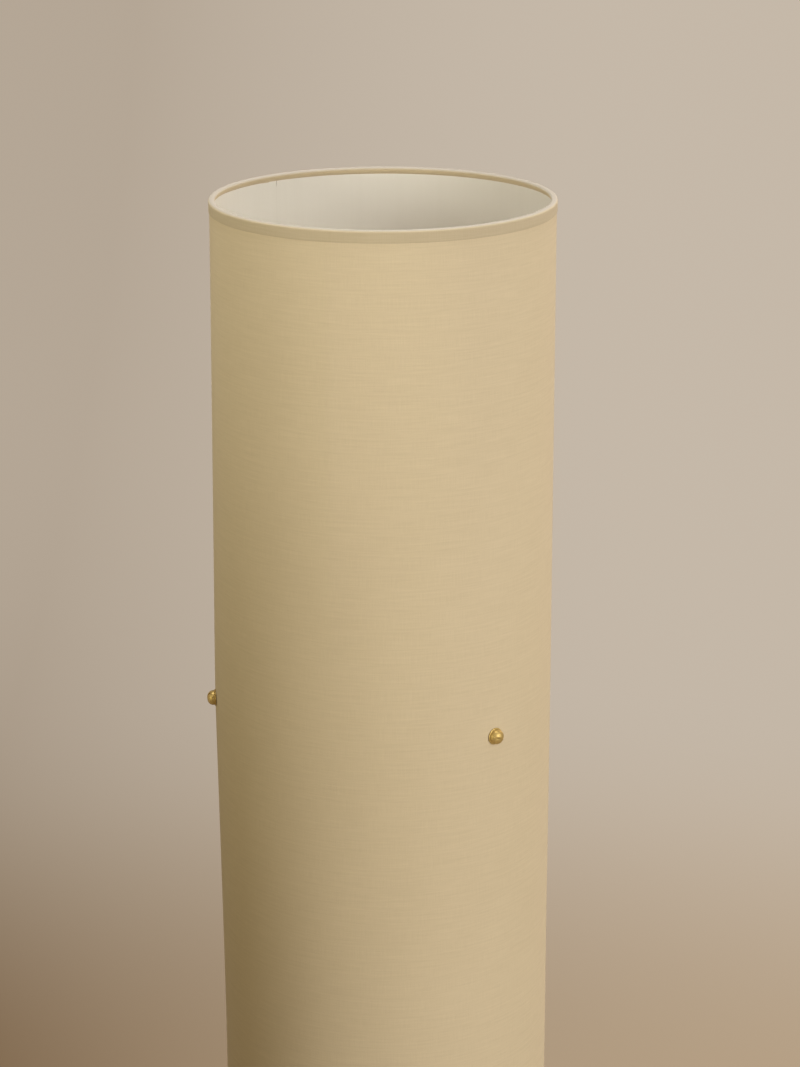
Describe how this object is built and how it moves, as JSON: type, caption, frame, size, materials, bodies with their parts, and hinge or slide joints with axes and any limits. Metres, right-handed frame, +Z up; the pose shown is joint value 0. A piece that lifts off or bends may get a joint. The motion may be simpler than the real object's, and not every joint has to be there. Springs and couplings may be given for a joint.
{
  "type": "column floor lamp",
  "caption": "Floor-standing lamp: a tall cloth cylinder open at the top, pinned by slotted brass screws to arms on a stem with a weighted base.",
  "frame": {"origin": "on the floor under the stem's axis, at the centre of the felt pad's underside", "axes": "+Z up along the stem, -Y the front, the cord leaves the base at the back (+Y); the shade screws are at 60 degrees right and left of the front and at the back"},
  "size_m": [0.2522, 0.2592, 1.2001],
  "materials": {
    "cream_cloth": "plain fine weave, warm cream, bonded to the lining",
    "cream_tape": "bias tape of the same cloth, rolled over the rims",
    "white_lining": "matte off-white sheet",
    "ring_wire": "zinc-plated wire",
    "brass": "turned, lightly aged",
    "white_paint": "satin warm-white powder coat",
    "zinc_steel": "zinc-plated",
    "grey_felt": "pressed felt",
    "rubber": "matte black",
    "flex_sheath": "white sheath",
    "core_sleeves": "coloured core insulation",
    "holder_plastic": "moulded white",
    "ceramic": "unglazed white",
    "nickel": "nickel-plated",
    "black_glass": "black insulator",
    "bulb_housing": "moulded white",
    "led_board": "white-coated board",
    "opal": "opal, satin"
  },
  "bodies": {
    "root": {"shade_cloth": "cream_cloth", "shade_liner": "white_lining", "shade_rings": "ring_wire", "hem_tapes": "cream_tape", "arms": "white_paint", "arm_bosses": "zinc_steel", "arm_hub": "white_paint", "hub_lock_nut": "zinc_steel", "grub_screws": "zinc_steel", "stem_tube": "white_paint", "stem_top_insert": "zinc_steel", "stem_nipple": "zinc_steel", "stem_flange": "white_paint", "flange_screws": "zinc_steel", "base_weight": "white_paint", "felt_pad": "grey_felt", "cord_bush": "rubber", "cord_grip": "zinc_steel", "cord_grip_screws": "zinc_steel", "inner_flex": "flex_sheath", "flex_cores": "core_sleeves", "holder_cap": "holder_plastic", "holder_skirt": "holder_plastic", "holder_core": "ceramic", "holder_thread_shell": "nickel", "holder_contact": "brass"},
    "right_washer": {"right_screw_washer": "brass"},
    "right_screw": {"right_shade_screw": "brass"},
    "left_washer": {"left_screw_washer": "brass"},
    "left_screw": {"left_shade_screw": "brass"},
    "back_washer": {"back_screw_washer": "brass"},
    "back_screw": {"back_shade_screw": "brass"},
    "bulb_foot": {"bulb_tip": "nickel"},
    "bulb": {"bulb_insulator": "black_glass", "bulb_cap": "nickel", "bulb_collar": "bulb_housing", "bulb_led_plate": "led_board", "bulb_envelope": "opal"}
  },
  "joints": [
    {"name": "right_screw_travel", "type": "slide", "parent": "root", "child": "right_washer", "axis": [0.866, -0.5, 0], "range_m": [0, 0.0084]},
    {"name": "right_screw_turn", "type": "hinge", "parent": "right_washer", "child": "right_screw", "pos_m": [0.11258, -0.065, 0.825], "axis": [0.866, -0.5, 0], "range_deg": [0, 4321]},
    {"name": "left_screw_travel", "type": "slide", "parent": "root", "child": "left_washer", "axis": [-0.866, -0.5, 0], "range_m": [0, 0.0084]},
    {"name": "left_screw_turn", "type": "hinge", "parent": "left_washer", "child": "left_screw", "pos_m": [-0.11258, -0.065, 0.825], "axis": [-0.866, -0.5, 0], "range_deg": [0, 4321]},
    {"name": "back_screw_travel", "type": "slide", "parent": "root", "child": "back_washer", "axis": [0, 1, 0], "range_m": [0, 0.0084]},
    {"name": "back_screw_turn", "type": "hinge", "parent": "back_washer", "child": "back_screw", "pos_m": [0, 0.13, 0.825], "axis": [0, 1, 0], "range_deg": [0, 4321]},
    {"name": "bulb_travel", "type": "slide", "parent": "root", "child": "bulb_foot", "axis": [0, 0, 1], "range_m": [0, 0.01633]},
    {"name": "bulb_turn", "type": "hinge", "parent": "bulb_foot", "child": "bulb", "pos_m": [0, 0, 0.88], "axis": [0, 0, 1], "range_deg": [0, 1621]}
  ],
  "couplings": [
    {"joint": "right_screw_turn", "follows": "right_screw_travel", "rad_per_m": 8976},
    {"joint": "left_screw_turn", "follows": "left_screw_travel", "rad_per_m": 8976},
    {"joint": "back_screw_turn", "follows": "back_screw_travel", "rad_per_m": 8976},
    {"joint": "bulb_turn", "follows": "bulb_travel", "rad_per_m": 1731.4}
  ]
}
